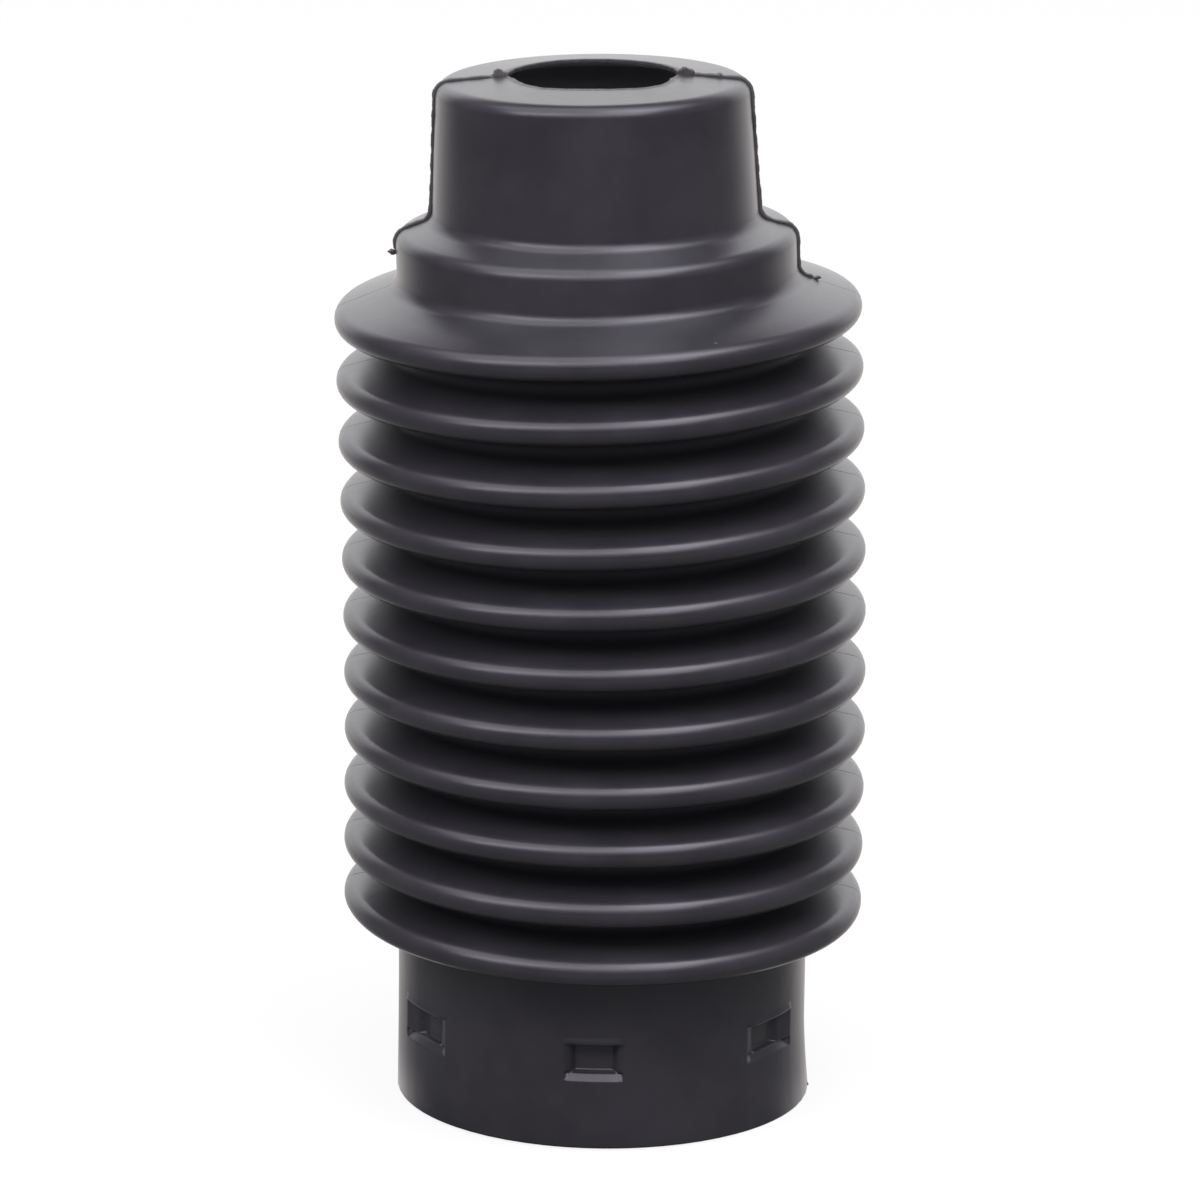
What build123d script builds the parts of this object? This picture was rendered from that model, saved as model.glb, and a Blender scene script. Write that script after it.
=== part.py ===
from build123d import *
from math import acos, atan, atan2, cos, degrees, hypot, radians, sin, tan
import os

# Bellows boot: the dust boot of a telescopic damper, blown in one piece from thermoplastic rubber.
# It stands on the rim of its collar, the origin is the middle of that rim and the axis is +Z.
# Sizes are in millimetres. The mould closes on the XZ plane, so its parting line and the flash
# along it lie at +X and -X.

# ---- wall ----
wall = 1.2  # thickness of the blown wall, the same everywhere

# ---- collar, the straight skirt that slips over the damper's tube ----
collar_radius = 28.5
collar_height = 24.2  # from the rim to the level of the lowest valley
mouth_flare = 0.2  # the mouth stands this much wider than the collar above it
mouth_height = 7.5
mouth_taper = 1.5  # height over which the collar widens to the mouth

# ---- folds ----
fold_count = 11
crest_radius = 36.1
valley_radius = 28.0
crest_inside_round = 0.3  # the outside is rounder by the wall
valley_round = 1.5
lowest_pitch = 8.03  # from the lowest crest to the one above it
pitch_growth = 0.071  # each pitch is longer than the one below it, as the boot sags on its rim

# ---- stepped top: shoulder, neck and end face ----
shoulder_radius = 27.4
shoulder_inside_round = 0.9
shoulder_foot_round = 2.0
shoulder_foot_rise = 5.9  # from the top crest up to the centre of the foot's round
shoulder_rise = 3.8  # from there up to the centre of the shoulder's rounded edge
neck_foot_radius = 22.4
neck_foot_round = 2.0
neck_foot_rise = 4.9  # from the shoulder's edge up to the centre of the neck foot's round
neck_top_radius = 21.6
neck_inside_round = 0.55
neck_rise = 15.8  # from the neck foot up to the centre of the neck's rounded top edge
end_rise = 0.75  # the end face is a low cone, this much higher at the hole than at the neck's edge

# ---- hole in the end face, a circle drawn out to a point at the parting line ----
hole_radius = 11.0
hole_point = 11.5

# ---- flash, the thin fin left along the parting line of the stepped top ----
flash_height = 0.4
flash_thickness = 0.3
flash_drop_left = 1.5  # how far the fin runs on below the shoulder's rounded edge
flash_drop_right = 5.5

# ---- pockets pressed into the collar, which stand out inside it as catches ----
pocket_count = 6
pocket_level = 12.95  # middle of the mouth above the rim
pocket_width = 8.7
pocket_height = 5.7
pocket_depth = 1.1
floor_width = 7.1
floor_height = 4.0
floor_lift = 0.25  # the ledge below the floor is deeper than the slope above it
catch_margin = 0.6  # how far the catch reaches past the pocket on each side, for its walls

# ---- levels and rounds worked out from these ----
mouth_radius = collar_radius + mouth_flare
crest_round = crest_inside_round + wall
shoulder_round = shoulder_inside_round + wall
neck_round = neck_inside_round + wall
crest_levels = [collar_height + lowest_pitch / 2]
for fold in range(fold_count - 1):
    crest_levels.append(crest_levels[-1] + lowest_pitch + fold * pitch_growth)
shoulder_foot_level = crest_levels[-1] + shoulder_foot_rise
shoulder_level = shoulder_foot_level + shoulder_rise
neck_foot_level = shoulder_level + neck_foot_rise
neck_level = neck_foot_level + neck_rise
end_slope = degrees(atan(end_rise / (neck_top_radius - neck_round - hole_radius)))


def wall_rounds():
    """The rounds that the outside of the wall bends over, from the end face down to the collar.

    Each is (distance of its centre from the axis, level, rounding). The rounding is positive
    where the centre lies on the wall's inner side, as in a crest, and negative in a valley.
    """
    crest = crest_radius - crest_round
    valley = valley_radius + valley_round
    rounds = [
        (neck_top_radius - neck_round, neck_level, neck_round),
        (neck_foot_radius + neck_foot_round, neck_foot_level, -neck_foot_round),
        (shoulder_radius - shoulder_round, shoulder_level, shoulder_round),
        (shoulder_radius + shoulder_foot_round, shoulder_foot_level, -shoulder_foot_round),
    ]
    for below, above in reversed(list(zip(crest_levels, crest_levels[1:]))):
        rounds.append((crest, above, crest_round))
        rounds.append((valley, (above + below) / 2, -valley_round))
    rounds.append((crest, crest_levels[0], crest_round))
    rounds.append((collar_radius + valley_round, collar_height, -valley_round))
    return rounds


def end_start(inset):
    """Point where the end face that lies inset below the outside meets the neck's rounded edge."""
    across, level, rounding = wall_rounds()[0]
    reach = rounding - inset
    facing_up = radians(90 - end_slope)
    return across + reach * cos(facing_up), level + reach * sin(facing_up)


def end_level(inset, distance=0):
    """Level of that face at a distance from the axis, along its slope from the neck's edge."""
    across, level = end_start(inset)
    return level + (across - distance) * tan(radians(end_slope))


def facing(first, second):
    """Angle of the outward normal of the straight wall between two rounds that follow each other.

    The wall runs over its rounds as a belt runs over pulleys. Seen along the line between the
    centres, its normal is turned left by the angle whose cosine is the difference between the
    two roundings over the distance.
    """
    across = second[0] - first[0]
    up = second[1] - first[1]
    return degrees(atan2(up, across) + acos((first[2] - second[2]) / hypot(across, up)))


def draw_wall(inset):
    """Draw half the section of the surface that lies inset below the wall's outside.

    It runs from the axis across the end face and down to the rim. Every centre stays where it
    is and only the roundings change, so the straight stretches stay parallel.
    """
    rounds = wall_rounds()
    angles = [90 - end_slope, *(facing(*pair) for pair in zip(rounds, rounds[1:])), 0]
    end = Vector(0, end_level(inset))
    for (across, level, rounding), start_angle, end_angle in zip(rounds, angles, angles[1:]):
        reach = rounding - inset
        first = start_angle if reach > 0 else start_angle + 180
        bend = CenterArc((across, level), abs(reach), first, end_angle - start_angle)
        Line(end, bend @ 0)
        end = bend @ 1
    Polyline(
        end,
        (collar_radius - inset, mouth_height + mouth_taper),
        (mouth_radius - inset, mouth_height),
        (mouth_radius - inset, 0),
    )


# ---- flash: a thin fin on each side, standing on the wall from the hole to below the shoulder ----
with BuildPart() as flash:
    for side, drop in ((1, flash_drop_right), (-1, flash_drop_left)):
        fin_bottom = shoulder_level - drop
        fin_rise = end_level(-flash_height) - fin_bottom
        fin_reach = shoulder_radius + shoulder_foot_round - hole_point
        with BuildSketch(Plane.XZ) as fin:
            with BuildLine():
                draw_wall(-flash_height)
                draw_wall(wall / 2)
                Line((0, end_level(-flash_height)), (0, end_level(wall / 2)))
                Line((mouth_radius + flash_height, 0), (mouth_radius - wall / 2, 0))
            make_face()
            with Locations((hole_point, fin_bottom)):
                Rectangle(fin_reach, fin_rise, align=(Align.MIN, Align.MIN), mode=Mode.INTERSECT)
            if side < 0:
                mirror(about=Plane.YZ, mode=Mode.REPLACE)
        extrude(amount=flash_thickness / 2, both=True)

# ---- pocket: the hollow of one pocket, flaring out to past the collar ----
with BuildPart() as pocket:
    for depth in (pocket_depth, -pocket_depth):
        share = depth / pocket_depth
        with BuildSketch(Plane.YZ.offset(collar_radius - depth)):
            with Locations((0, pocket_level + share * floor_lift)):
                Rectangle(
                    pocket_width + share * (floor_width - pocket_width),
                    pocket_height + share * (floor_height - pocket_height),
                )
    loft()

# ---- catch: the pad behind one pocket, from inside the wall to the catch's face ----
with BuildPart() as catch:
    for depth in (pocket_depth, -wall / 2):
        share = depth / pocket_depth
        with BuildSketch(Plane.YZ.offset(collar_radius - wall - depth)):
            with Locations((0, pocket_level + share * floor_lift)):
                Rectangle(
                    pocket_width + share * (floor_width - pocket_width) + 2 * catch_margin,
                    pocket_height + share * (floor_height - pocket_height) + 2 * catch_margin,
                )
    loft()

# ---- the boot: one revolved wall with its hole, flash, catches and pockets ----
with BuildPart() as bellows_boot:
    with BuildSketch(Plane.XZ):
        with BuildLine():
            draw_wall(0)
            draw_wall(wall)
            Line((0, end_level(0)), (0, end_level(wall)))
            Line((mouth_radius, 0), (mouth_radius - wall, 0))
        make_face()
    revolve(axis=Axis.Z)
    add(flash.part)
    with BuildSketch(Plane.XY.offset(neck_level)):
        with BuildLine():
            CenterArc((0, 0), hole_radius, 0, 360)
            Line((-hole_point, 0), (hole_point, 0))
        make_hull()
    extrude(amount=neck_rise, mode=Mode.SUBTRACT)
    with PolarLocations(0, pocket_count, start_angle=-90):
        add(catch.part)
        add(pocket.part, mode=Mode.SUBTRACT)
bellows_boot.part.label = "bellows_boot"

os.makedirs("parts", exist_ok=True)
export_step(bellows_boot.part, "parts/bellows_boot.step")
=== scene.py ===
"""Moulded rubber bellows boot: its folded skin, the pockets in its collar and the flash left along
its parting line, standing on a pale studio floor.

Lengths in the functions are in millimetres; lay_mesh turns them into metres.
"""

import math

import bpy
import numpy as np
from mathutils import Matrix


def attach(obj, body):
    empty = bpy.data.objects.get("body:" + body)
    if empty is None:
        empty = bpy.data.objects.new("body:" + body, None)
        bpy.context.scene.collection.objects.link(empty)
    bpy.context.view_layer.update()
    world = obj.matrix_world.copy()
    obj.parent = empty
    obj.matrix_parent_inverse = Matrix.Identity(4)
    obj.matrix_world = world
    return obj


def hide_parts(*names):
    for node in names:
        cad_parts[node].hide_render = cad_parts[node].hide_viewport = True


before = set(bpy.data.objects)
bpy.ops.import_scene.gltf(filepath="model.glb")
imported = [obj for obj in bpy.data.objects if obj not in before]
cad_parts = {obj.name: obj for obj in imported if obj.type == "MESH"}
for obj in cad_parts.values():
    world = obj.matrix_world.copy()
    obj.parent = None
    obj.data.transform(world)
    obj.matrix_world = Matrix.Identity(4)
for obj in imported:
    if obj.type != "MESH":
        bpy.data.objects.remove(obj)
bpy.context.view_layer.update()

# ---- sizes of the boot ----
# They are the solid's, but for CREST_ROUND and VALLEY_ROUND, which are both 1.5 in the solid,
# and NECK_ROUND and NECK_RISE, which are 1.75 and 15.8 there.
WALL = 1.2
COLLAR_RADIUS = 28.5
COLLAR_TOP = 24.2
FOLDS = 11
CREST_RADIUS = 36.1
CREST_ROUND = 1.85
VALLEY_RADIUS = 28.0
VALLEY_ROUND = 1.15
PITCH = 8.03
PITCH_GROWTH = 0.071
SHOULDER_RADIUS = 27.4
SHOULDER_ROUND = 2.1
SHOULDER_FOOT_ROUND = 2.0
SHOULDER_FOOT_RISE = 5.9
SHOULDER_RISE = 3.8
NECK_FOOT_RADIUS = 22.4
NECK_FOOT_ROUND = 2.0
NECK_FOOT_RISE = 4.9
NECK_TOP_RADIUS = 21.6
NECK_ROUND = 2.0
NECK_RISE = 15.55
END_RISE = 0.75
HOLE_RADIUS = 11.0
FACE_RADIUS = 19.7  # just past where the end face meets the neck's rounded edge
RIM_ROUND = 0.35

# ---- pockets in the collar: levels above the rim, and depths ----
LEDGE_FOOT = 9.85
LEDGE_HEAD = 10.85
FLOOR_FOOT = 11.1
FLOOR_HEAD = 15.05
POCKET_HEAD = 15.16
LEDGE_DEPTH = 0.78
FLOOR_DEPTH = 1.7
BEAD_HEIGHT = 0.25
CATCH_DEPTH = 1.1

# ---- camera and lights, in metres and radians ----
VIEW_TURN = math.radians(2.0)
CAMERA_OUT = 0.9989
CAMERA_UP = 0.34212
CAMERA_DIP = math.radians(15.2125)
LIGHT_DISTANCE = 1.5
LIGHT_AIM = 0.08  # height of the point that the lights face
WHITE = (1.0, 1.0, 1.0, 1.0)

# columns of the skin in the collar, in degrees from the front pocket's middle to the parting line
QUARTER = np.array(
    (
        0, 2.4, 4.6, 5.15, 5.6, 6.4, 6.75, 7.1, 7.95, 8.25, 8.6, 10.2, 14, 19, 25, 31, 37, 43,
        46.5, 47.2, 47.7, 50.2, 50.8, 51.2, 52.2, 52.55, 53.3, 55.5, 58.5, 61.5, 62.15, 62.6,
        63.5, 63.9, 64.5, 67.2, 68.7, 69.1, 69.6, 72, 77, 83, 90,
    )
)
COLUMNS = 4 * (len(QUARTER) - 1)


def smooth(t):
    """Smooth step 3 t^2 - 2 t^3 of t held between 0 and 1."""
    t = np.clip(t, 0.0, 1.0)
    return t * t * (3.0 - 2.0 * t)


def bell(t):
    """Bell curve exp(-t^2)."""
    return np.exp(-(t**2))


def wall_rounds():
    """Arcs the outside bends over, neck to collar, as rows of centre distance, level and round.

    Crest k lies at collar top + pitch / 2 + k pitch + growth k (k - 1) / 2 and each valley half
    way between two crests. The round of a hollow arc is negative.
    """
    k = np.arange(FOLDS)
    crest = COLLAR_TOP + PITCH / 2 + k * PITCH + PITCH_GROWTH * k * (k - 1) / 2
    shoulder_foot = crest[-1] + SHOULDER_FOOT_RISE
    shoulder = shoulder_foot + SHOULDER_RISE
    neck_foot = shoulder + NECK_FOOT_RISE
    neck = neck_foot + NECK_RISE
    rounds = [
        (NECK_TOP_RADIUS - NECK_ROUND, neck, NECK_ROUND),
        (NECK_FOOT_RADIUS + NECK_FOOT_ROUND, neck_foot, -NECK_FOOT_ROUND),
        (SHOULDER_RADIUS - SHOULDER_ROUND, shoulder, SHOULDER_ROUND),
        (SHOULDER_RADIUS + SHOULDER_FOOT_ROUND, shoulder_foot, -SHOULDER_FOOT_ROUND),
    ]
    for fold in range(FOLDS - 1, 0, -1):
        middle = (crest[fold] + crest[fold - 1]) / 2
        rounds.append((CREST_RADIUS - CREST_ROUND, crest[fold], CREST_ROUND))
        rounds.append((VALLEY_RADIUS + VALLEY_ROUND, middle, -VALLEY_ROUND))
    rounds.append((CREST_RADIUS - CREST_ROUND, crest[0], CREST_ROUND))
    rounds.append((COLLAR_RADIUS + VALLEY_ROUND, COLLAR_TOP, -VALLEY_ROUND))
    return np.array(rounds)


ROUNDS = wall_rounds()
SHOULDER_LEVEL = ROUNDS[2, 1]
END_SLOPE = math.atan(END_RISE / (ROUNDS[0, 0] - HOLE_RADIUS))


def end_level(distance, inset=0.0):
    """Level of the end face at a distance from the axis: a cone from the neck's rounded edge."""
    reach = NECK_ROUND - inset
    start = ROUNDS[0, 0] + reach * math.sin(END_SLOPE)
    level = ROUNDS[0, 1] + reach * math.cos(END_SLOPE)
    return level + (start - distance) * math.tan(END_SLOPE)


def wall_line(inset, crest_steps, valley_steps, flat_steps):
    """Line of the wall at a depth below its outside, from the end face's edge to the collar top.

    An arc is centre + (round - inset) (cos a, sin a). Two arcs share the normal whose angle is
    that of the line between their centres plus acos((round1 - round2) / distance), and straight
    steps join them. Gives the distance from the axis, the level and the normal's angle.
    """
    step = np.diff(ROUNDS, axis=0)
    lean = np.arccos(-step[:, 2] / np.hypot(step[:, 0], step[:, 1]))
    turns = np.arctan2(step[:, 1], step[:, 0]) + lean
    facing = np.concatenate(([math.pi / 2 - END_SLOPE], turns, [0.0]))
    across, level, normal = [], [], []
    for (x, z, rounding), first, last in zip(ROUNDS, facing, facing[1:]):
        steps = crest_steps if rounding > 0 else valley_steps
        a = np.linspace(first, last, steps + 1)
        ax = x + (rounding - inset) * np.cos(a)
        az = z + (rounding - inset) * np.sin(a)
        if across:
            s = np.arange(1, flat_steps) / flat_steps
            across.append(across[-1][-1] + s * (ax[0] - across[-1][-1]))
            level.append(level[-1][-1] + s * (az[0] - level[-1][-1]))
            normal.append(np.full(flat_steps - 1, first))
        across.append(ax)
        level.append(az)
        normal.append(a)
    return np.concatenate(across), np.concatenate(level), np.concatenate(normal)


def settle(points):
    """Place on the standing boot of a point on the straight one.

    The folds turn by up to the view turn between the collar and the neck. With s = z / 150 the
    section shifts sideways by s^2 (7.08 - 21.72 s + 12.32 s^2), from 40 mm up by 0.1 more, and
    tips by a polynomial of the height, so z falls by the sideways distance times the tip. All
    crests droop a little at the front, the lowest most and the two highest least, and the end
    face tips back. Below 11 mm the mouth flares by 0.3 + 0.22 cos(angle) and on its right side by
    0.2 cos(angle)^2 more; the folds are 0.07 fuller and the neck 0.15 slimmer. The last 6 mm
    above the rim stand up to 0.29 higher towards the front and the left. The neck's foot sags by
    up to 0.55 on the right and the shoulder swells by up to 0.35 on the left, each as a bell
    curve of the height.
    """
    x, y, z = points[..., 0], points[..., 1], points[..., 2]
    radius = np.hypot(x, y)
    angle = np.arctan2(y, x)
    right, left = np.clip(np.cos(angle), 0, 1), np.clip(-np.cos(angle), 0, 1)

    # distance from the axis
    flare = 0.3 + 0.22 * np.cos(angle) + 0.2 * right**2
    flare = flare * np.clip((11 - z) / 11, 0, 1) ** 1.5
    fuller = 0.07 * smooth((z - 24) / 8) * smooth((114 - z) / 4)
    slimmer = 0.15 * smooth((z - 120) / 6) * np.clip((radius - 14) / 5, 0, 1)
    grown = radius + flare + fuller - slimmer

    # level
    front = np.clip(0.3 * np.cos(angle) - np.sin(angle), 0, 1)
    front = front * np.clip((radius - 27) / 9, 0, 1)
    droop = 0.26 * bell((z - 110) / 10) - 0.65 * bell((z - 27) / 9)
    droop = droop - 0.22 * smooth((116 - z) / 4)
    uneven = 0.145 - 0.12 * np.sin(angle) - 0.08 * np.cos(angle)
    sag = 0.55 * right * bell((z - 125.5) / 3) * smooth((27.5 - radius) / 3)
    swell = 0.35 * left * bell((z - 121.5) / 3) * smooth((radius - 23) / 3)
    swell = swell * np.clip(1 - 3 * np.sin(angle), -0.8, 1)
    lifted = z + droop * front - 0.0187 * y * smooth((z - 130) / 12)
    lifted = lifted + uneven * np.clip((6 - z) / 6, 0, 1) ** 2 - sag + swell

    # twist, tip and lean; the stations are levels and the tips degrees
    turned = angle + VIEW_TURN * smooth((z - 24) / 94)
    x, y = grown * np.cos(turned), grown * np.sin(turned)
    stations = (0, 10, 24, 45, 67, 90, 112, 121, 130, 143)
    tips = (0, 0.2, 0.45, -0.05, -1.05, -1.95, -2.0, -1.6, -1.2, -1.0)
    tip = np.radians(np.polynomial.Polynomial.fit(stations, tips, 6)(z))
    sideways = x * math.cos(VIEW_TURN) + y * math.sin(VIEW_TURN)
    lowered = lifted - sideways * tip * smooth(z / 8)
    s = z / 150
    shift = s * s * (7.08 - 21.72 * s + 12.32 * s * s) + 0.1 * smooth((z - 40) / 15)
    x = x + shift * math.cos(VIEW_TURN)
    y = y + shift * math.sin(VIEW_TURN)
    return np.stack((x, y, lowered), axis=-1)


def lay_mesh(name, points, close_rows, material, fields=None):
    """Piece from a grid of points, rows by columns, with quads between neighbours.

    Every row is a closed ring. The last row joins the first where close_rows is true, and
    otherwise one flat face closes each end. Rows run so that row step cross column step points
    outwards.
    """
    rows, columns = points.shape[:2]
    i = np.arange(rows if close_rows else rows - 1)[:, None]
    j = np.arange(columns)[None, :]
    down = (i + 1) % rows
    right = (j + 1) % columns
    quads = np.stack(
        (i * columns + j, down * columns + j, down * columns + right, i * columns + right), axis=-1
    ).reshape(-1)
    ends = np.zeros(0, int)
    if not close_rows:
        ends = np.concatenate((np.arange(columns), (rows - 1) * columns + np.arange(columns)[::-1]))
    quad_count = len(quads) // 4
    end_count = len(ends) // columns
    starts = np.concatenate(
        (np.arange(quad_count) * 4, quad_count * 4 + np.arange(end_count) * columns)
    )
    mesh = bpy.data.meshes.new(name)
    mesh.vertices.add(rows * columns)
    mesh.vertices.foreach_set("co", (points.reshape(-1) * 0.001).astype(np.float32))
    mesh.loops.add(len(quads) + len(ends))
    mesh.loops.foreach_set("vertex_index", np.concatenate((quads, ends)).astype(np.int32))
    mesh.polygons.add(len(starts))
    mesh.polygons.foreach_set("loop_start", starts.astype(np.int32))
    mesh.polygons.foreach_set("use_smooth", np.ones(len(starts), bool))
    mesh.update(calc_edges=True)
    mesh.validate()
    for field, values in (fields or {}).items():
        layer = mesh.attributes.new(field, "FLOAT", "POINT")
        layer.data.foreach_set("value", values.reshape(-1).astype(np.float32))
    piece = bpy.data.objects.new(name, mesh)
    bpy.context.scene.collection.objects.link(piece)
    mesh.materials.append(material)
    return piece


# ---- shaders ----
class Wire:
    """A socket's value in a shader; Python operators on it add the Math nodes."""

    def __init__(self, recipe, socket):
        self.recipe = recipe
        self.socket = socket

    def math(self, operation, *values):
        """Math node over the values, each a wire or a number."""
        sockets = dict(enumerate(values))
        return self.recipe.node("ShaderNodeMath", {"operation": operation}, sockets)

    def __add__(self, other):
        return self.math("ADD", self, other)

    def __radd__(self, other):
        return self.math("ADD", other, self)

    def __sub__(self, other):
        return self.math("SUBTRACT", self, other)

    def __rsub__(self, other):
        return self.math("SUBTRACT", other, self)

    def __mul__(self, other):
        return self.math("MULTIPLY", self, other)

    def __rmul__(self, other):
        return self.math("MULTIPLY", other, self)

    def __truediv__(self, other):
        return self.math("DIVIDE", self, other)

    def __rtruediv__(self, other):
        return self.math("DIVIDE", other, self)

    def larger(self, other):
        """The larger of this value and the other."""
        return self.math("MAXIMUM", self, other)

    def ramp(self, low, high):
        """Smooth rise from 0 at low to 1 at high; a fall where low is above high."""
        settings = {"interpolation_type": "SMOOTHSTEP"}
        if low < high:
            sockets = {"Value": self, "From Min": low, "From Max": high}
            return self.recipe.node("ShaderNodeMapRange", settings, sockets)
        sockets = {"Value": self, "From Min": high, "From Max": low}
        return 1 - self.recipe.node("ShaderNodeMapRange", settings, sockets)


class Recipe:
    """The node tree of one finish."""

    def __init__(self, tree):
        self.tree = tree
        tree.nodes.clear()

    def node(self, kind, settings=None, sockets=None, out=0):
        """Add a node: its settings first, then the values or links of its sockets."""
        made = self.tree.nodes.new(kind)
        for name, value in (settings or {}).items():
            setattr(made, name, value)
        for name, value in (sockets or {}).items():
            if isinstance(value, Wire):
                self.tree.links.new(value.socket, made.inputs[name])
            else:
                made.inputs[name].default_value = value
        return Wire(self, made.outputs[out]) if made.outputs else made

    def blend(self, factor, first, second):
        """Colour between first and second."""
        settings = {"data_type": "RGBA"}
        sockets = {0: factor, 6: first, 7: second}
        return self.node("ShaderNodeMix", settings, sockets, out=2)

    def noise(self, place, scale, detail=2.0, roughness=0.5):
        """Cloudy value about 0.5; scale is the number of its largest clouds in a metre."""
        sockets = {"Vector": place, "Scale": scale, "Detail": detail, "Roughness": roughness}
        return self.node("ShaderNodeTexNoise", {"noise_dimensions": "3D"}, sockets)

    def stretched(self, place, scale):
        """Place with each axis scaled by itself."""
        sockets = {"Vector": place, "Scale": scale}
        return self.node("ShaderNodeMapping", {"vector_type": "POINT"}, sockets)


def new_finish(name):
    """New material and the recipe that fills it."""
    material = bpy.data.materials.new(name)
    material.use_nodes = True
    return material, Recipe(material.node_tree)


def rubber():
    """Black thermoplastic rubber as it leaves the mould.

    The grey varies by a few percent in soft patches, lint and dust lie on it as rare pale
    specks, and the gloss is broken by patches and a fine grain. Down between the folds it is
    duller, and its colour is painted paler there as painted light that lifts the shade in the
    hollows. The inside is painted pale, partly as release dust and mostly as painted light that
    lifts the shade inside the boot. A low ridge follows the parting line, the knife has left the
    hole's edge rough, and thin flash shows paler than the wall.
    """
    material, r = new_finish("satin_rubber")
    place = r.node("ShaderNodeTexCoord", out=3)
    patches = r.noise(place, 90.0, 3.0, 0.6)
    grain = r.noise(place, 2600.0, 2.0, 0.6)
    drawn = r.noise(r.stretched(place, (700.0, 700.0, 45.0)), 1.0, 3.0, 0.65)
    parting = r.node("ShaderNodeAttribute", {"attribute_name": "parting"}, out=2)
    cut = r.node("ShaderNodeAttribute", {"attribute_name": "cut"}, out=2)
    inside = r.node("ShaderNodeAttribute", {"attribute_name": "inside"}, out=2)
    hollow = r.node("ShaderNodeAttribute", {"attribute_name": "hollow"}, out=2)
    flashed = r.node("ShaderNodeAttribute", {"attribute_name": "flashed"}, out=2)
    ridge = parting.ramp(0.28, 0.0)
    torn = r.noise(place, 1500.0, 4.0, 0.7)
    cells = {"Vector": place, "Scale": 170.0, "Randomness": 1.0}
    dots = r.node("ShaderNodeTexVoronoi", {"feature": "F1"}, cells)
    pick = r.noise(place, 95.0, 1.0)
    speck = dots.ramp(0.055, 0.025) * pick.ramp(0.66, 0.7)
    dark = (0.0208, 0.0194, 0.0248, 1.0)
    pale = (0.0296, 0.0278, 0.0342, 1.0)
    dust = (0.10, 0.098, 0.10, 1.0)
    # painted light: a paler colour down between the folds that lifts the shade there
    fold_fill_light = (0.042, 0.040, 0.047, 1.0)
    # pale inside: partly release dust, mostly painted light that lifts the shade inside the boot
    dust_and_fill_light = (0.24, 0.235, 0.255, 1.0)
    thin = (0.078, 0.074, 0.076, 1.0)
    colour = r.blend(patches.ramp(0.3, 0.7), dark, pale)
    # painted light between the folds: paler where the skin lies down in the hollows
    colour = r.blend(hollow, colour, fold_fill_light)
    colour = r.blend(flashed.larger(0.25 * cut), colour, thin)
    colour = r.blend(speck * 0.6, colour, dust)
    # painted light inside: the whole inside is painted pale, partly as release dust
    colour = r.blend(inside, colour, dust_and_fill_light)
    roughness = 0.25 + 0.06 * patches + 0.05 * drawn + 0.2 * cut + 0.35 * inside + 0.3 * hollow
    height = 0.000012 * grain + 0.00001 * drawn + 0.00006 * ridge + 0.00022 * (cut * torn)
    bump = r.node(
        "ShaderNodeBump", {}, {"Strength": 1.0, "Distance": 1.0, "Height": height}
    )
    shader = r.node(
        "ShaderNodeBsdfPrincipled",
        {},
        {
            "Base Color": colour,
            "Roughness": roughness,
            "IOR": 1.5,
            "Specular Tint": (0.93, 0.88, 1.0, 1.0),
            "Normal": bump,
        },
    )
    r.node("ShaderNodeOutputMaterial", {}, {"Surface": shader})
    return material


RUBBER = rubber()


# ---- skin of the boot ----
def hole_edge(angle):
    """Distance of the knife's cut from the axis at an angle in radians.

    Straight runs in angle between the cut's corners; the corners lie at the parting line and
    where the front of the cut turns back.
    """
    corners = np.array(
        (
            (-180, 11.6), (-160, 11.0), (-140, 11.7), (-122, 12.3), (-105, 11.7), (-90, 11.6),
            (-72, 12.2), (-57, 13.0), (-42, 12.7), (-22, 11.3), (0, 11.6), (24, 11.4),
            (40, 11.3), (62, 11.2), (90, 11.3), (115, 11.5), (138, 11.3), (158, 11.4), (180, 11.6),
        )
    )
    degrees = np.degrees(np.arctan2(np.sin(angle), np.cos(angle)))
    ragged = 0.05 * np.sin(angle * 23 + 1) + 0.04 * np.sin(angle * 41 + 2)
    return np.interp(degrees, corners[:, 0], corners[:, 1]) + ragged


def pocket_depth(angle, level, catch):
    """Depth of the six pockets at an angle in degrees from the front pocket's middle.

    Each pocket has a chamfer 0.75 to 0.85 deep on its two sides and a steeper recess down to 1.7,
    a ledge that falls by 0.78 over 1 mm at the bottom, and a bead 0.25 high over its top edge,
    each run in straight lines over the angle and over the level. Of two lines that bound one
    hollow the smaller depth counts, of two hollows the deeper. The angles are mirrored at the
    parting line. Where catch is true it is the plain catch behind the pocket, 0.6 mm wider.
    """
    quarter = 90 - np.abs(np.abs(angle) - 90)
    if catch:
        across = np.interp(quarter, (7.6, 9.9, 45.5, 49.3, 65.4, 70.8), (1, 0, 0, 1, 1, 0))
        down = np.interp(level, (9.4, 10.6, 15.4, 16.5), (0, 1, 1, 0))
        return CATCH_DEPTH * np.minimum(across, down)
    across = np.interp(
        quarter,
        (5.15, 6.75, 8.25, 47.2, 50.8, 52.55, 62.15, 63.9, 69.1),
        (FLOOR_DEPTH, 0.75, 0, 0, 0.85, FLOOR_DEPTH, FLOOR_DEPTH, 0.85, 0),
    )
    down = np.interp(
        level,
        (LEDGE_FOOT, LEDGE_HEAD, FLOOR_FOOT, FLOOR_HEAD, POCKET_HEAD),
        (0, LEDGE_DEPTH, FLOOR_DEPTH, FLOOR_DEPTH, 0),
    )
    wide = np.interp(quarter, (7.95, 8.25, 47.2, 47.7, 68.7, 69.1), (1, 0, 0, 1, 1, 0))
    ledge = np.interp(level, (LEDGE_FOOT, LEDGE_HEAD, FLOOR_FOOT), (0, LEDGE_DEPTH, 0))
    bead = np.interp(level, (15.11, 15.3, 15.55, 16.3), (0, 0.21, BEAD_HEIGHT, 0))
    return np.maximum(np.minimum(across, down), np.minimum(wide, ledge)) - wide * bead


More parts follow.
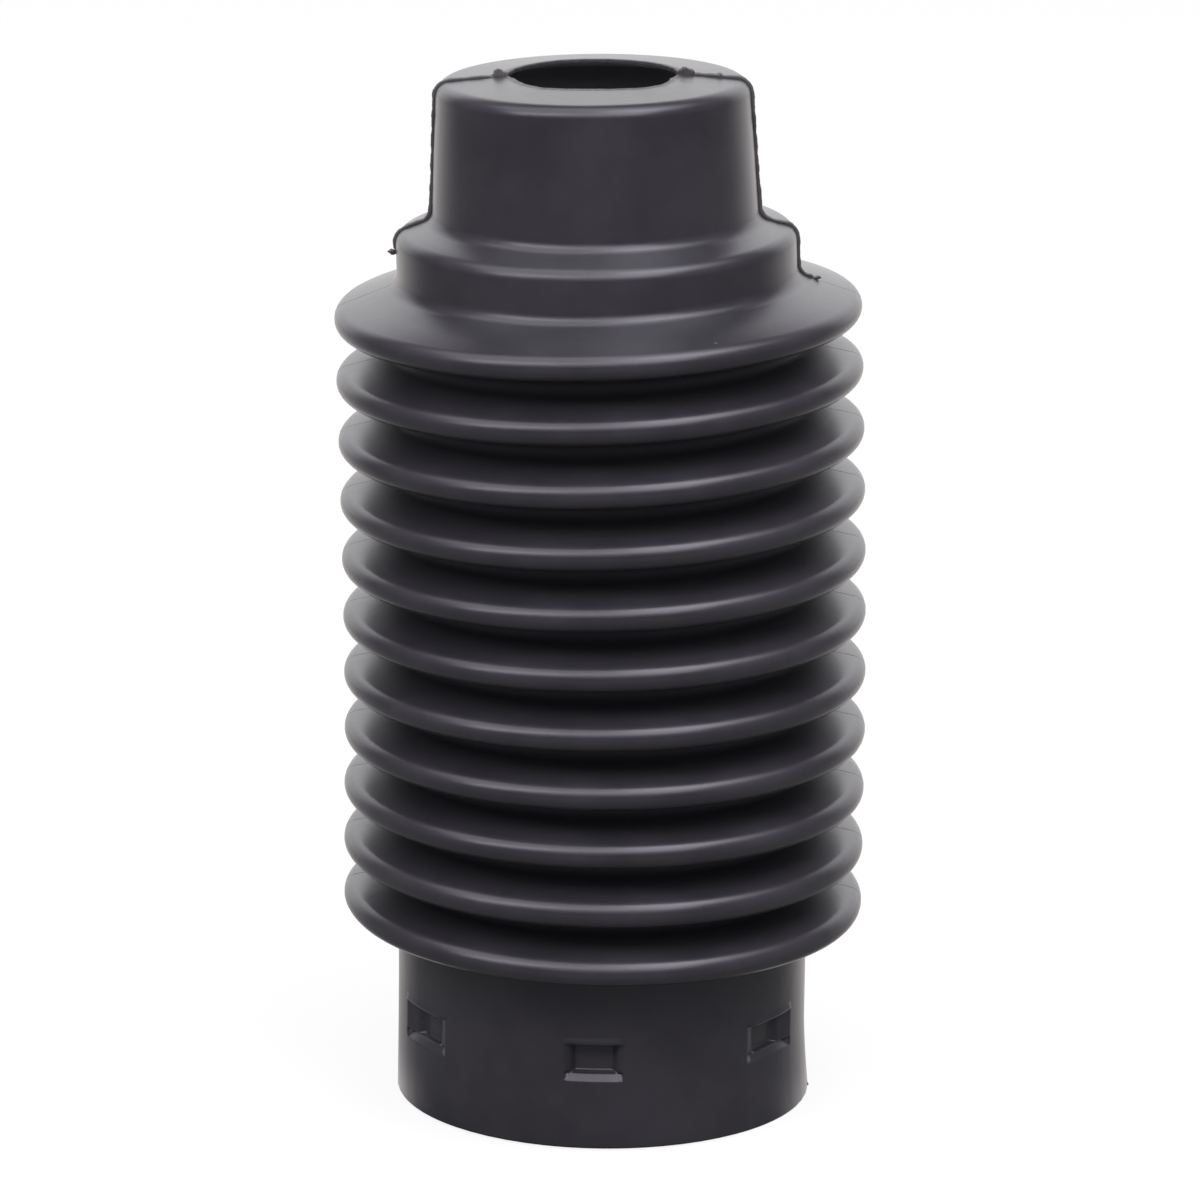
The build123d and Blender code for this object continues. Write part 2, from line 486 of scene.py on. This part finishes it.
def skin_line():
    """Rows of the skin as distance and level, and which of them are outside and which inside.

    They run from the hole over the end face, down the folds and the collar, through the rim's
    quarter round and back up inside to the hole. The rows of the collar gather at the levels
    where the pockets bend. The end wall thins by 0.62 towards the hole's cut edge.
    """
    out_r, out_z, _ = wall_line(0.0, 11, 8, 2)
    in_r, in_z, _ = wall_line(WALL, 4, 6, 2)
    top = end_level(HOLE_RADIUS)
    lip = [(HOLE_RADIUS, top - 0.5), (HOLE_RADIUS, top - 0.3), (HOLE_RADIUS, top - 0.12)]
    lip = lip + [(HOLE_RADIUS + 0.035, top - 0.035)]
    across = np.array((11.12, 11.5, 12.2, 13.2, 14.6, 16.2, 17.8, 19.0))
    face = list(zip(across, end_level(across)))
    collar = [
        (COLLAR_RADIUS, z)
        for z in (
            22.4, 20.6, 18.9, 17.4, 16.7, 16.45, 16.3, 16.15, 15.9, 15.67, 15.55, 15.42,
            15.3, 15.2, 15.11, 15.05, 14.9, 14.5, 13.8, 12.9, 12.0, 11.4, 11.1, 10.98,
            10.85, 10.72, 10.35, 9.98, 9.85, 9.72, 9.4, 8.6, 7.4, 6.0, 4.5, 3.0, 1.5, 0.55,
        )
    ]
    turn = np.radians((0, 22, 45, 68, 90))
    rim_across = COLLAR_RADIUS - RIM_ROUND * (1 - np.cos(turn))
    rim = list(zip(rim_across, RIM_ROUND * (1 - np.sin(turn))))
    rim = rim + [(27.8, 0.0), (27.48, 0.0), (27.35, 0.05)]
    skirt = [
        (COLLAR_RADIUS - WALL, z)
        for z in (
            0.18, 1.5, 4.0, 6.5, 8.4, 9.3, 9.5, 9.9, 10.4, 10.75, 12.0, 13.6, 15.2, 15.8, 16.1,
            16.4, 16.6, 17.5, 19.5, 22.0,
        )
    ]
    across = np.array((18.5, 16.5, 14.5, 13.4, 12.6, 11.9, 11.3, 11.04))
    thinned = 0.62 * smooth((14.5 - across) / 3.3)
    ceiling = list(zip(across, end_level(across, WALL) + thinned))
    outer = lip + face + list(zip(out_r, out_z)) + collar
    inner = skirt + list(zip(in_r[::-1], in_z[::-1])) + ceiling
    line = np.array(outer + rim + inner)
    is_outer = np.arange(len(line)) < len(outer)
    is_inner = np.arange(len(line)) >= len(outer) + len(rim)
    return line, is_outer, is_inner


def boot_skin():
    """Closed skin of the boot: the rows of skin_line turned about the axis and then settled.

    A point stands at its row's distance less the pocket's depth, at its column's angle. Columns
    are even in angle in the folds and gather at the pockets' edges in the collar, by a smooth
    share of the height. On the end face the distance grows towards the hole, there by the whole
    difference between the knife's cut and the round hole. The fields say where the skin lies
    down between the folds, how far it is from the parting line, and where it is cut or inside.
    """
    line, is_outer, is_inner = skin_line()
    half = np.concatenate((QUARTER[:-1], 180 - QUARTER[:0:-1]))
    gathered = np.concatenate((half, 180 + half))
    even = 360 / COLUMNS * np.arange(COLUMNS)
    share = smooth((24.0 - line[:, 1]) / 7.0)[:, None]
    turned = even + share * (gathered - even)
    angle = np.radians(turned - 90)
    turned = np.where(turned > 180, turned - 360, turned)

    radius = line[:, :1] + 0 * angle
    level = line[:, 1:] + 0 * angle
    outward = np.clip(1 - (radius - HOLE_RADIUS) / 8.85, 0, 1)
    at_hole = (level > ROUNDS[0, 1]) & (radius < FACE_RADIUS)
    radius = np.where(at_hole, radius + (hole_edge(angle) - HOLE_RADIUS) * outward, radius)
    in_collar = level < 24
    outer_low = in_collar & is_outer[:, None]
    inner_low = in_collar & is_inner[:, None]
    radius = np.where(outer_low, radius - pocket_depth(turned, level, False), radius)
    radius = np.where(inner_low, radius - pocket_depth(turned, level, True), radius)
    straight = np.stack((radius * np.cos(angle), radius * np.sin(angle), level), axis=-1)
    in_fold = is_outer & (line[:, 1] > COLLAR_TOP) & (line[:, 1] < ROUNDS[4, 1])
    hollow = np.where(in_fold, smooth((33.0 - line[:, 0]) / 4.0), 0.0)[:, None]
    fields = {
        "hollow": hollow + 0 * angle,
        "parting": np.where(is_outer[:, None], np.abs(straight[..., 1]), 9.0),
        "cut": np.where(at_hole, smooth((12.4 - line[:, :1]) / 1.2), 0.0),
        "inside": np.where(is_inner[:, None] + 0 * angle > 0, 1.0, 0.0),
    }
    return lay_mesh("boot_skin", settle(straight), True, RUBBER, fields)


def flash_fin(name, side, last_level, seed):
    """Thin fin of flash along the parting line of the stepped top, on side +1 or -1.

    The path is the wall's line in the plane y = 0, from beside the hole down to last_level. The
    section is a rounded blade across the wall's normal, sunk a little into the wall; its height
    and thickness waver with the distance along the path as sums of sines and grow by a bell
    curve at the neck's foot. On the end face it lies up to 0.9 nearer the front.
    """
    out_r, out_z, facing = wall_line(0.0, 14, 14, 14)
    top = np.linspace(13.4, 19.5, 14)
    path_r = np.concatenate((top, out_r))
    path_z = np.concatenate((end_level(top), out_z))
    facing = np.concatenate((np.full(14, math.pi / 2 - END_SLOPE), facing))
    last = np.argmax(path_z < last_level)
    path_r, path_z, facing = path_r[:last], path_z[:last], facing[:last]
    along = np.concatenate(([0.0], np.cumsum(np.hypot(np.diff(path_r), np.diff(path_z)))))
    even = np.linspace(0, along[-1], 120)
    path_r, path_z, facing = (np.interp(even, along, v) for v in (path_r, path_z, facing))
    phase = seed * 1.7
    waver = 0.5 * np.sin(even * 1.9 + phase) + 0.3 * np.sin(even * 4.3 + 2 * phase)
    waver = waver + 0.2 * np.sin(even * 9.1 + 3 * phase)
    foot = bell((path_z - ROUNDS[1, 1]) / 2.2)
    height = (0.46 if side > 0 else 0.4) + 0.08 * waver + 0.14 * foot
    thick = 0.15 + 0.02 * waver + 0.06 * foot
    fade = smooth(even / 0.8) * smooth((along[-1] - even) / 0.3)
    height = height * (0.25 + 0.75 * fade)
    across = np.array((-1.0, -1.0, -0.62, 0.0, 0.62, 1.0, 1.0))
    up = np.array((-1.0, 0.55, 0.9, 1.0, 0.9, 0.55, -1.0))
    lift = np.where(up < 0, -0.25, up * height[:, None])
    r = path_r[:, None] + lift * np.cos(facing)[:, None]
    z = path_z[:, None] + lift * np.sin(facing)[:, None]
    forward = 0.05 * np.sin(even * 0.8 + phase) - 0.9 * smooth((path_z - 134) / 6)
    y = -side * across * thick[:, None] + forward[:, None]
    points = np.stack((side * r, y, z), axis=-1)
    return lay_mesh(name, settle(points), False, RUBBER, {"flashed": 1.0 + 0 * y})


def torn_lump(name, middle, reach, seed, turn=0.0, thinness=1.0):
    """Small torn lump: an ellipsoid of half sizes reach whose distance from the middle wavers by
    a few sines of its two angles, turned about the y axis. A thinness of 1 is as pale as thin
    flash and 0 as dark as the wall."""
    rows, columns = 15, 20
    v = np.linspace(0.02, math.pi - 0.02, rows)[:, None]
    u = np.linspace(0, 2 * math.pi, columns, endpoint=False)[None, :]
    p = seed * 2.3
    waver = 1 + 0.16 * np.sin(3 * u + p) * np.sin(v) + 0.14 * np.sin(4 * v + 2 * u + 2 * p)
    waver = waver + 0.08 * np.sin(7 * u - 3 * v + p) * np.sin(v)
    x = reach[0] * waver * np.sin(v) * np.cos(u)
    y = reach[1] * waver * np.sin(v) * np.sin(u)
    z = reach[2] * waver * np.cos(v) + 0 * u
    x, z = x * math.cos(turn) + z * math.sin(turn), z * math.cos(turn) - x * math.sin(turn)
    points = np.stack((x + middle[0], y + middle[1], z + middle[2]), axis=-1)
    return lay_mesh(name, settle(points), False, RUBBER, {"flashed": thinness + 0 * x})


skin = boot_skin()
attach(skin, "root")
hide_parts("bellows_boot")

NUB_LEVEL = end_level(12.7)
KNOT_LEVEL = end_level(17.5)
flash = [
    flash_fin("flash_right", 1, SHOULDER_LEVEL - 6.1, 1),
    flash_fin("flash_left", -1, SHOULDER_LEVEL - 1.35, 2),
    torn_lump("flash_end_left", (-27.9, 0.0, SHOULDER_LEVEL - 1.3), (0.6, 0.3, 0.34), 3, 0.2),
    torn_lump("flash_end_right", (29.95, 0.0, SHOULDER_LEVEL - 5.95), (0.62, 0.2, 0.25), 4, -0.15),
    torn_lump("hole_nub_left", (-12.7, -0.9, NUB_LEVEL + 0.12), (1.0, 0.16, 0.85), 1, 0.3),
    torn_lump("hole_smear_left", (-13.6, -0.8, end_level(14.1)), (1.15, 0.16, 0.36), 9, -0.3),
    torn_lump("hole_nub_right", (12.5, -0.95, NUB_LEVEL + 0.1), (1.15, 0.16, 0.9), 6, 0.0, 0.6),
    torn_lump("hole_smear_right", (13.4, -0.85, end_level(14.3)), (1.8, 0.16, 0.36), 10, 0.1, 0.8),
    torn_lump("flash_knot_right", (17.35, -1.0, KNOT_LEVEL + 0.1), (0.55, 0.14, 0.5), 11, 0.0, 0.8),
    torn_lump("rim_nub", (28.35, 0.0, 0.45), (0.25, 0.2, 0.3), 7),
]
for piece in flash:
    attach(piece, "root")


# ---- studio ----
def pale_floor():
    """White floor that keeps a faint shadow. For light and reflections it is grey beside the boot
    and under it and bright behind it, by the direction from the boot's axis, and bright again
    far out in front.
    """
    material, r = new_finish("studio_floor")
    seen = r.node("ShaderNodeLightPath", out=0)
    place = r.node("ShaderNodeTexCoord", out=3)
    out = r.node("ShaderNodeVectorMath", {"operation": "LENGTH"}, {0: place}, out=1)
    y = r.node("ShaderNodeSeparateXYZ", {}, {"Vector": place}, out=1)
    footprint = 0.0008  # square of the collar's radius
    near = footprint / (out * out).larger(footprint)
    in_front = (0 - y).larger(0) / out.larger(0.001)
    behind = near * (1 - 2 * (in_front * in_front)) + (1 - near) * y / out.larger(0.001)
    ahead = 0.7 * (out.ramp(0.7, 1.5) * in_front.ramp(0.8, 0.97))
    lit = behind.ramp(0.3, 1.05) + ahead
    grey = r.node("ShaderNodeBsdfDiffuse", {}, {"Color": (0.18, 0.18, 0.18, 1.0)})
    white = r.node("ShaderNodeBsdfDiffuse", {}, {"Color": (0.8, 0.8, 0.8, 1.0)})
    glow = r.node("ShaderNodeEmission", {}, {"Color": WHITE, "Strength": 1.0})
    warm = r.node("ShaderNodeEmission", {}, {"Color": (1.4, 1.33, 1.31, 1.0), "Strength": 1.0})
    unseen = r.node("ShaderNodeMixShader", {}, {0: lit, 1: grey, 2: warm})
    shown = r.node("ShaderNodeMixShader", {}, {0: 0.87, 1: white, 2: glow})
    surface = r.node("ShaderNodeMixShader", {}, {0: seen, 1: unseen, 2: shown})
    r.node("ShaderNodeOutputMaterial", {}, {"Surface": surface})
    mesh = bpy.data.meshes.new("studio_floor")
    mesh.from_pydata(
        [(-6, -3, 0), (6, -3, 0), (6, 6, 0), (-6, 6, 0)], [], [(0, 1, 2, 3)]
    )
    floor = bpy.data.objects.new("studio_floor", mesh)
    bpy.context.scene.collection.objects.link(floor)
    mesh.materials.append(material)
    return floor


pale_floor()


def studio_air():
    """White to the camera. For light and reflections: a bright backdrop behind the boot, dim
    flanks, dark low in front and bright higher there, by the direction the ray leaves in.
    """
    world = bpy.data.worlds.new("studio_air")
    bpy.context.scene.world = world
    world.use_nodes = True
    r = Recipe(world.node_tree)
    seen = r.node("ShaderNodeLightPath", out=0)
    place = r.node("ShaderNodeTexCoord", out=0)
    back = r.node("ShaderNodeSeparateXYZ", {}, {"Vector": place}, out=1)
    up = r.node("ShaderNodeSeparateXYZ", {}, {"Vector": place}, out=2)
    wall = back.ramp(0.5, 0.75) * up.ramp(0.85, 0.45) * (1.45 + 0.6 * up.ramp(0.2, 0.4))
    flanks = 0.35 * back.ramp(0.6, 0.2) * back.ramp(-0.85, -0.6)
    front = 1.15 * back.ramp(-0.6, -0.8) * up.ramp(0.3, 0.45) * up.ramp(0.75, 0.6)
    level = wall + flanks + front
    level = level * (1 - seen) + seen
    background = r.node("ShaderNodeBackground", {}, {"Color": WHITE, "Strength": level})
    r.node("ShaderNodeOutputWorld", {}, {"Surface": background})


studio_air()


def soft_box(name, sideways, rise, spread, level):
    """Oblong soft light that faces the boot.

    It stands sideways degrees to the right of the plane through the front and the zenith, and
    rise degrees up from the front along that plane. The spread is its half width and half height
    in degrees as the boot sees it, and level its brightness, where 1 is white.
    """
    v, u = math.radians(sideways), math.radians(rise)
    across = (math.cos(v), math.sin(v) * math.cos(u), -math.sin(v) * math.sin(u))
    along = (0.0, math.sin(u), math.cos(u))
    away = (math.sin(v), -math.cos(v) * math.cos(u), math.cos(v) * math.sin(u))
    light = bpy.data.lights.new(name, "AREA")
    light.shape = "RECTANGLE"
    light.size = 2 * LIGHT_DISTANCE * math.tan(math.radians(spread[0]))
    light.size_y = 2 * LIGHT_DISTANCE * math.tan(math.radians(spread[1]))
    light.energy = level * math.pi * light.size * light.size_y
    lamp = bpy.data.objects.new(name, light)
    bpy.context.scene.collection.objects.link(lamp)
    lamp.location = tuple(LIGHT_DISTANCE * part for part in away)
    lamp.location.z += LIGHT_AIM
    lamp.rotation_euler = Matrix((across, along, away)).transposed().to_euler()
    return lamp


soft_box("left_box", -33.0, 49.0, (20.0, 9.5), 5.4)
soft_box("right_box", 22.0, 61.0, (15.0, 21.0), 4.9)
soft_box("front_box", -3.0, 50.0, (9.0, 11.0), 3.7)
soft_box("top_box", 0.0, 83.0, (48.0, 19.0), 2.3)


def set_camera():
    """Long lens that looks down at the boot from the front, two degrees to its right."""
    data = bpy.data.cameras.new("camera")
    data.sensor_fit = "HORIZONTAL"
    data.sensor_width = 36.0
    data.lens = 224.32
    camera = bpy.data.objects.new("camera", data)
    bpy.context.scene.collection.objects.link(camera)
    camera.location = (
        CAMERA_OUT * math.sin(VIEW_TURN), -CAMERA_OUT * math.cos(VIEW_TURN), CAMERA_UP
    )
    turn = Matrix.Rotation(VIEW_TURN + math.radians(0.034), 3, "Z")
    pitch = Matrix.Rotation(math.pi / 2 - CAMERA_DIP, 3, "X")
    roll = Matrix.Rotation(math.radians(0.45), 3, "Z")
    camera.rotation_euler = (turn @ pitch @ roll).to_euler()
    bpy.context.scene.camera = camera


set_camera()
bpy.context.scene.view_settings.view_transform = "Standard"
